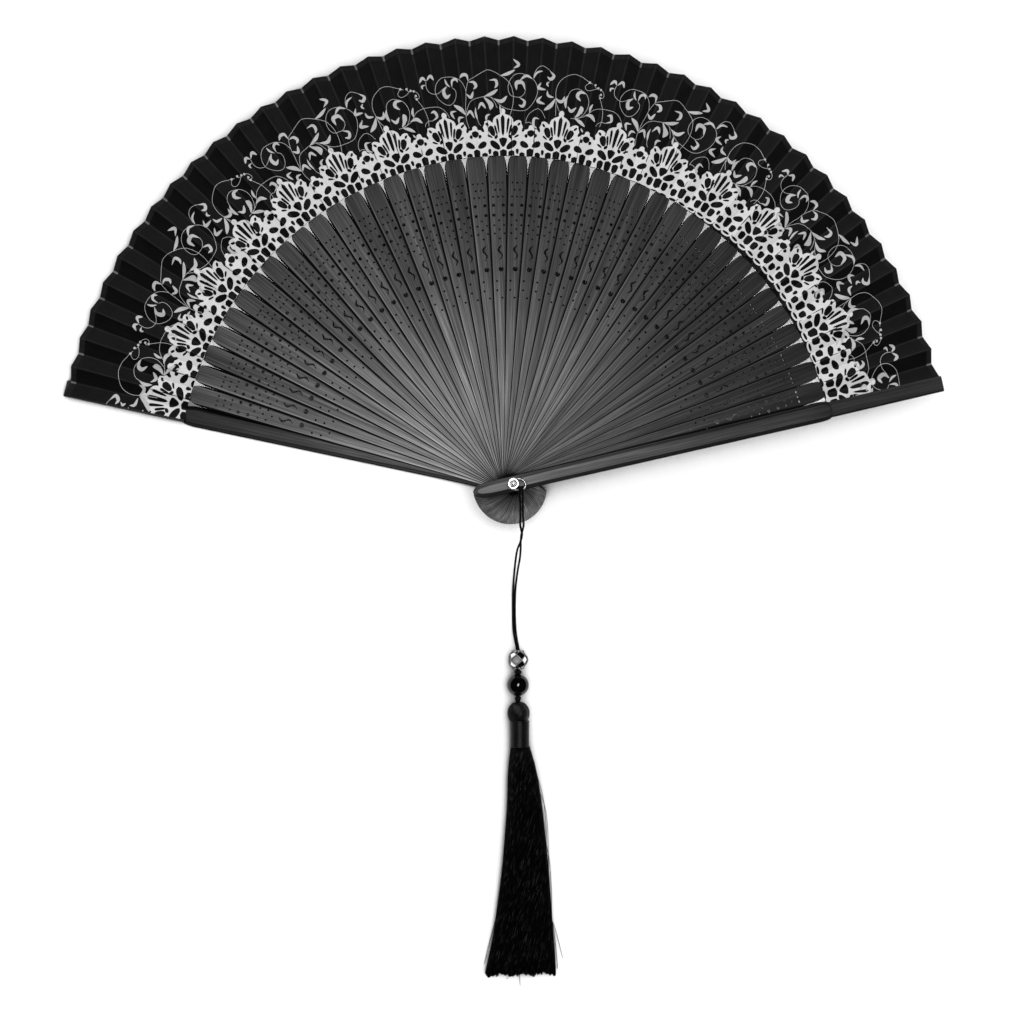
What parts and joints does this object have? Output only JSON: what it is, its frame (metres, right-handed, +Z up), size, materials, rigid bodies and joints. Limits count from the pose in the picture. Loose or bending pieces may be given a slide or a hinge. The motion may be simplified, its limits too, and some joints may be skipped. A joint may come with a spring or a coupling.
{
  "type": "folding hand fan",
  "caption": "Folding hand fan of pierced bamboo ribs on one rivet, with a pleated silk leaf and a beaded cord tassel.",
  "frame": {"origin": "on the rivet's axis, on the surface that the fan lies on: the flush rear end of the rivet", "axes": "+Z up along the rivet through the stack of sticks; the open leaf spreads towards +Y; the tail lies towards -Y"},
  "size_m": [0.3828, 0.4098, 0.0254],
  "materials": {
    "rib_bamboo": "matt dark stain with the bamboo grain showing",
    "guard_bamboo": "satin dark stain with the bamboo grain showing",
    "silk_leaf": "plain-woven black silk with a pale print",
    "chromed_steel": "polished",
    "silver": "bright, with darkened hollows",
    "black_bead": "high gloss",
    "cord": "twisted, slightly waxed",
    "tassel_thread": "fine smooth threads with a silk sheen"
  },
  "bodies": {
    "lower_guard": {"lower_guard": "guard_bamboo", "rivet": "chromed_steel", "rear_washer": "chromed_steel", "front_washer": "chromed_steel", "leaf": "silk_leaf"},
    "rib_01": {"rib_01": "rib_bamboo"},
    "rib_02": {"rib_02": "rib_bamboo"},
    "rib_03": {"rib_03": "rib_bamboo"},
    "rib_04": {"rib_04": "rib_bamboo"},
    "rib_05": {"rib_05": "rib_bamboo"},
    "rib_06": {"rib_06": "rib_bamboo"},
    "rib_07": {"rib_07": "rib_bamboo"},
    "rib_08": {"rib_08": "rib_bamboo"},
    "rib_09": {"rib_09": "rib_bamboo"},
    "rib_10": {"rib_10": "rib_bamboo"},
    "rib_11": {"rib_11": "rib_bamboo"},
    "rib_12": {"rib_12": "rib_bamboo"},
    "rib_13": {"rib_13": "rib_bamboo"},
    "rib_14": {"rib_14": "rib_bamboo"},
    "rib_15": {"rib_15": "rib_bamboo"},
    "rib_16": {"rib_16": "rib_bamboo"},
    "rib_17": {"rib_17": "rib_bamboo"},
    "rib_18": {"rib_18": "rib_bamboo"},
    "rib_19": {"rib_19": "rib_bamboo"},
    "rib_20": {"rib_20": "rib_bamboo"},
    "rib_21": {"rib_21": "rib_bamboo"},
    "rib_22": {"rib_22": "rib_bamboo"},
    "rib_23": {"rib_23": "rib_bamboo"},
    "rib_24": {"rib_24": "rib_bamboo"},
    "rib_25": {"rib_25": "rib_bamboo"},
    "rib_26": {"rib_26": "rib_bamboo"},
    "rib_27": {"rib_27": "rib_bamboo"},
    "rib_28": {"rib_28": "rib_bamboo"},
    "rib_29": {"rib_29": "rib_bamboo"},
    "rib_30": {"rib_30": "rib_bamboo"},
    "rib_31": {"rib_31": "rib_bamboo"},
    "rib_32": {"rib_32": "rib_bamboo"},
    "rib_33": {"rib_33": "rib_bamboo"},
    "rib_34": {"rib_34": "rib_bamboo"},
    "rib_35": {"rib_35": "rib_bamboo"},
    "rib_36": {"rib_36": "rib_bamboo"},
    "rib_37": {"rib_37": "rib_bamboo"},
    "rib_38": {"rib_38": "rib_bamboo"},
    "rib_39": {"rib_39": "rib_bamboo"},
    "rib_40": {"rib_40": "rib_bamboo"},
    "upper_guard": {"upper_guard": "guard_bamboo"},
    "tail": {"tail_ring": "chromed_steel", "cord_strand_left": "cord", "cord_strand_right": "cord", "middle_knot": "cord", "lower_knot": "cord", "tassel_head": "tassel_thread", "tassel_neck": "tassel_thread", "tassel_skirt": "tassel_thread"},
    "silver_bead": {"silver_bead": "silver"},
    "black_bead": {"black_bead": "black_bead"}
  },
  "joints": [
    {"name": "fan_fold", "type": "hinge", "parent": "lower_guard", "child": "upper_guard", "pos_m": [0, 0, 0.0214], "axis": [0, 0, 1], "range_deg": [0, 154.7], "deforming": ["leaf"]},
    {"name": "rib_01_turn", "type": "hinge", "parent": "lower_guard", "child": "rib_01", "pos_m": [0, 0, 0.00326], "axis": [0, 0, 1], "range_deg": [0, 3.77]},
    {"name": "rib_02_turn", "type": "hinge", "parent": "lower_guard", "child": "rib_02", "pos_m": [0, 0, 0.00368], "axis": [0, 0, 1], "range_deg": [0, 7.55]},
    {"name": "rib_03_turn", "type": "hinge", "parent": "lower_guard", "child": "rib_03", "pos_m": [0, 0, 0.0041], "axis": [0, 0, 1], "range_deg": [0, 11.32]},
    {"name": "rib_04_turn", "type": "hinge", "parent": "lower_guard", "child": "rib_04", "pos_m": [0, 0, 0.00452], "axis": [0, 0, 1], "range_deg": [0, 15.09]},
    {"name": "rib_05_turn", "type": "hinge", "parent": "lower_guard", "child": "rib_05", "pos_m": [0, 0, 0.00494], "axis": [0, 0, 1], "range_deg": [0, 18.87]},
    {"name": "rib_06_turn", "type": "hinge", "parent": "lower_guard", "child": "rib_06", "pos_m": [0, 0, 0.00536], "axis": [0, 0, 1], "range_deg": [0, 22.64]},
    {"name": "rib_07_turn", "type": "hinge", "parent": "lower_guard", "child": "rib_07", "pos_m": [0, 0, 0.00578], "axis": [0, 0, 1], "range_deg": [0, 26.41]},
    {"name": "rib_08_turn", "type": "hinge", "parent": "lower_guard", "child": "rib_08", "pos_m": [0, 0, 0.0062], "axis": [0, 0, 1], "range_deg": [0, 30.19]},
    {"name": "rib_09_turn", "type": "hinge", "parent": "lower_guard", "child": "rib_09", "pos_m": [0, 0, 0.00662], "axis": [0, 0, 1], "range_deg": [0, 33.96]},
    {"name": "rib_10_turn", "type": "hinge", "parent": "lower_guard", "child": "rib_10", "pos_m": [0, 0, 0.00704], "axis": [0, 0, 1], "range_deg": [0, 37.73]},
    {"name": "rib_11_turn", "type": "hinge", "parent": "lower_guard", "child": "rib_11", "pos_m": [0, 0, 0.00746], "axis": [0, 0, 1], "range_deg": [0, 41.51]},
    {"name": "rib_12_turn", "type": "hinge", "parent": "lower_guard", "child": "rib_12", "pos_m": [0, 0, 0.00788], "axis": [0, 0, 1], "range_deg": [0, 45.28]},
    {"name": "rib_13_turn", "type": "hinge", "parent": "lower_guard", "child": "rib_13", "pos_m": [0, 0, 0.0083], "axis": [0, 0, 1], "range_deg": [0, 49.05]},
    {"name": "rib_14_turn", "type": "hinge", "parent": "lower_guard", "child": "rib_14", "pos_m": [0, 0, 0.00872], "axis": [0, 0, 1], "range_deg": [0, 52.83]},
    {"name": "rib_15_turn", "type": "hinge", "parent": "lower_guard", "child": "rib_15", "pos_m": [0, 0, 0.00914], "axis": [0, 0, 1], "range_deg": [0, 56.6]},
    {"name": "rib_16_turn", "type": "hinge", "parent": "lower_guard", "child": "rib_16", "pos_m": [0, 0, 0.00956], "axis": [0, 0, 1], "range_deg": [0, 60.37]},
    {"name": "rib_17_turn", "type": "hinge", "parent": "lower_guard", "child": "rib_17", "pos_m": [0, 0, 0.00998], "axis": [0, 0, 1], "range_deg": [0, 64.14]},
    {"name": "rib_18_turn", "type": "hinge", "parent": "lower_guard", "child": "rib_18", "pos_m": [0, 0, 0.0104], "axis": [0, 0, 1], "range_deg": [0, 67.92]},
    {"name": "rib_19_turn", "type": "hinge", "parent": "lower_guard", "child": "rib_19", "pos_m": [0, 0, 0.01082], "axis": [0, 0, 1], "range_deg": [0, 71.69]},
    {"name": "rib_20_turn", "type": "hinge", "parent": "lower_guard", "child": "rib_20", "pos_m": [0, 0, 0.01124], "axis": [0, 0, 1], "range_deg": [0, 75.46]},
    {"name": "rib_21_turn", "type": "hinge", "parent": "lower_guard", "child": "rib_21", "pos_m": [0, 0, 0.01166], "axis": [0, 0, 1], "range_deg": [0, 79.24]},
    {"name": "rib_22_turn", "type": "hinge", "parent": "lower_guard", "child": "rib_22", "pos_m": [0, 0, 0.01208], "axis": [0, 0, 1], "range_deg": [0, 83.01]},
    {"name": "rib_23_turn", "type": "hinge", "parent": "lower_guard", "child": "rib_23", "pos_m": [0, 0, 0.0125], "axis": [0, 0, 1], "range_deg": [0, 86.78]},
    {"name": "rib_24_turn", "type": "hinge", "parent": "lower_guard", "child": "rib_24", "pos_m": [0, 0, 0.01292], "axis": [0, 0, 1], "range_deg": [0, 90.56]},
    {"name": "rib_25_turn", "type": "hinge", "parent": "lower_guard", "child": "rib_25", "pos_m": [0, 0, 0.01334], "axis": [0, 0, 1], "range_deg": [0, 94.33]},
    {"name": "rib_26_turn", "type": "hinge", "parent": "lower_guard", "child": "rib_26", "pos_m": [0, 0, 0.01376], "axis": [0, 0, 1], "range_deg": [0, 98.1]},
    {"name": "rib_27_turn", "type": "hinge", "parent": "lower_guard", "child": "rib_27", "pos_m": [0, 0, 0.01418], "axis": [0, 0, 1], "range_deg": [0, 101.88]},
    {"name": "rib_28_turn", "type": "hinge", "parent": "lower_guard", "child": "rib_28", "pos_m": [0, 0, 0.0146], "axis": [0, 0, 1], "range_deg": [0, 105.65]},
    {"name": "rib_29_turn", "type": "hinge", "parent": "lower_guard", "child": "rib_29", "pos_m": [0, 0, 0.01502], "axis": [0, 0, 1], "range_deg": [0, 109.42]},
    {"name": "rib_30_turn", "type": "hinge", "parent": "lower_guard", "child": "rib_30", "pos_m": [0, 0, 0.01544], "axis": [0, 0, 1], "range_deg": [0, 113.2]},
    {"name": "rib_31_turn", "type": "hinge", "parent": "lower_guard", "child": "rib_31", "pos_m": [0, 0, 0.01586], "axis": [0, 0, 1], "range_deg": [0, 116.97]},
    {"name": "rib_32_turn", "type": "hinge", "parent": "lower_guard", "child": "rib_32", "pos_m": [0, 0, 0.01628], "axis": [0, 0, 1], "range_deg": [0, 120.74]},
    {"name": "rib_33_turn", "type": "hinge", "parent": "lower_guard", "child": "rib_33", "pos_m": [0, 0, 0.0167], "axis": [0, 0, 1], "range_deg": [0, 124.52]},
    {"name": "rib_34_turn", "type": "hinge", "parent": "lower_guard", "child": "rib_34", "pos_m": [0, 0, 0.01712], "axis": [0, 0, 1], "range_deg": [0, 128.29]},
    {"name": "rib_35_turn", "type": "hinge", "parent": "lower_guard", "child": "rib_35", "pos_m": [0, 0, 0.01754], "axis": [0, 0, 1], "range_deg": [0, 132.06]},
    {"name": "rib_36_turn", "type": "hinge", "parent": "lower_guard", "child": "rib_36", "pos_m": [0, 0, 0.01796], "axis": [0, 0, 1], "range_deg": [0, 135.84]},
    {"name": "rib_37_turn", "type": "hinge", "parent": "lower_guard", "child": "rib_37", "pos_m": [0, 0, 0.01838], "axis": [0, 0, 1], "range_deg": [0, 139.61]},
    {"name": "rib_38_turn", "type": "hinge", "parent": "lower_guard", "child": "rib_38", "pos_m": [0, 0, 0.0188], "axis": [0, 0, 1], "range_deg": [0, 143.38]},
    {"name": "rib_39_turn", "type": "hinge", "parent": "lower_guard", "child": "rib_39", "pos_m": [0, 0, 0.01922], "axis": [0, 0, 1], "range_deg": [0, 147.15]},
    {"name": "rib_40_turn", "type": "hinge", "parent": "lower_guard", "child": "rib_40", "pos_m": [0, 0, 0.01964], "axis": [0, 0, 1], "range_deg": [0, 150.93]},
    {"name": "tail_swing", "type": "hinge", "parent": "lower_guard", "child": "tail", "pos_m": [0, 0, 0.0234], "axis": [0, 0, 1], "range_deg": [-80, 80]},
    {"name": "silver_bead_spin", "type": "hinge", "parent": "tail", "child": "silver_bead", "pos_m": [0.0041, -0.0766, 0.00485], "axis": [0, -1, 0], "continuous": true},
    {"name": "black_bead_spin", "type": "hinge", "parent": "tail", "child": "black_bead", "pos_m": [0.0041, -0.0877, 0.00485], "axis": [0, -1, 0], "continuous": true}
  ],
  "couplings": [
    {"joint": "rib_01_turn", "follows": "fan_fold", "ratio": 0.02439},
    {"joint": "rib_02_turn", "follows": "fan_fold", "ratio": 0.04878},
    {"joint": "rib_03_turn", "follows": "fan_fold", "ratio": 0.073171},
    {"joint": "rib_04_turn", "follows": "fan_fold", "ratio": 0.097561},
    {"joint": "rib_05_turn", "follows": "fan_fold", "ratio": 0.12195},
    {"joint": "rib_06_turn", "follows": "fan_fold", "ratio": 0.14634},
    {"joint": "rib_07_turn", "follows": "fan_fold", "ratio": 0.17073},
    {"joint": "rib_08_turn", "follows": "fan_fold", "ratio": 0.19512},
    {"joint": "rib_09_turn", "follows": "fan_fold", "ratio": 0.21951},
    {"joint": "rib_10_turn", "follows": "fan_fold", "ratio": 0.2439},
    {"joint": "rib_11_turn", "follows": "fan_fold", "ratio": 0.26829},
    {"joint": "rib_12_turn", "follows": "fan_fold", "ratio": 0.29268},
    {"joint": "rib_13_turn", "follows": "fan_fold", "ratio": 0.31707},
    {"joint": "rib_14_turn", "follows": "fan_fold", "ratio": 0.34146},
    {"joint": "rib_15_turn", "follows": "fan_fold", "ratio": 0.36585},
    {"joint": "rib_16_turn", "follows": "fan_fold", "ratio": 0.39024},
    {"joint": "rib_17_turn", "follows": "fan_fold", "ratio": 0.41463},
    {"joint": "rib_18_turn", "follows": "fan_fold", "ratio": 0.43902},
    {"joint": "rib_19_turn", "follows": "fan_fold", "ratio": 0.46341},
    {"joint": "rib_20_turn", "follows": "fan_fold", "ratio": 0.4878},
    {"joint": "rib_21_turn", "follows": "fan_fold", "ratio": 0.5122},
    {"joint": "rib_22_turn", "follows": "fan_fold", "ratio": 0.53659},
    {"joint": "rib_23_turn", "follows": "fan_fold", "ratio": 0.56098},
    {"joint": "rib_24_turn", "follows": "fan_fold", "ratio": 0.58537},
    {"joint": "rib_25_turn", "follows": "fan_fold", "ratio": 0.60976},
    {"joint": "rib_26_turn", "follows": "fan_fold", "ratio": 0.63415},
    {"joint": "rib_27_turn", "follows": "fan_fold", "ratio": 0.65854},
    {"joint": "rib_28_turn", "follows": "fan_fold", "ratio": 0.68293},
    {"joint": "rib_29_turn", "follows": "fan_fold", "ratio": 0.70732},
    {"joint": "rib_30_turn", "follows": "fan_fold", "ratio": 0.73171},
    {"joint": "rib_31_turn", "follows": "fan_fold", "ratio": 0.7561},
    {"joint": "rib_32_turn", "follows": "fan_fold", "ratio": 0.78049},
    {"joint": "rib_33_turn", "follows": "fan_fold", "ratio": 0.80488},
    {"joint": "rib_34_turn", "follows": "fan_fold", "ratio": 0.82927},
    {"joint": "rib_35_turn", "follows": "fan_fold", "ratio": 0.85366},
    {"joint": "rib_36_turn", "follows": "fan_fold", "ratio": 0.87805},
    {"joint": "rib_37_turn", "follows": "fan_fold", "ratio": 0.90244},
    {"joint": "rib_38_turn", "follows": "fan_fold", "ratio": 0.92683},
    {"joint": "rib_39_turn", "follows": "fan_fold", "ratio": 0.95122},
    {"joint": "rib_40_turn", "follows": "fan_fold", "ratio": 0.97561}
  ]
}
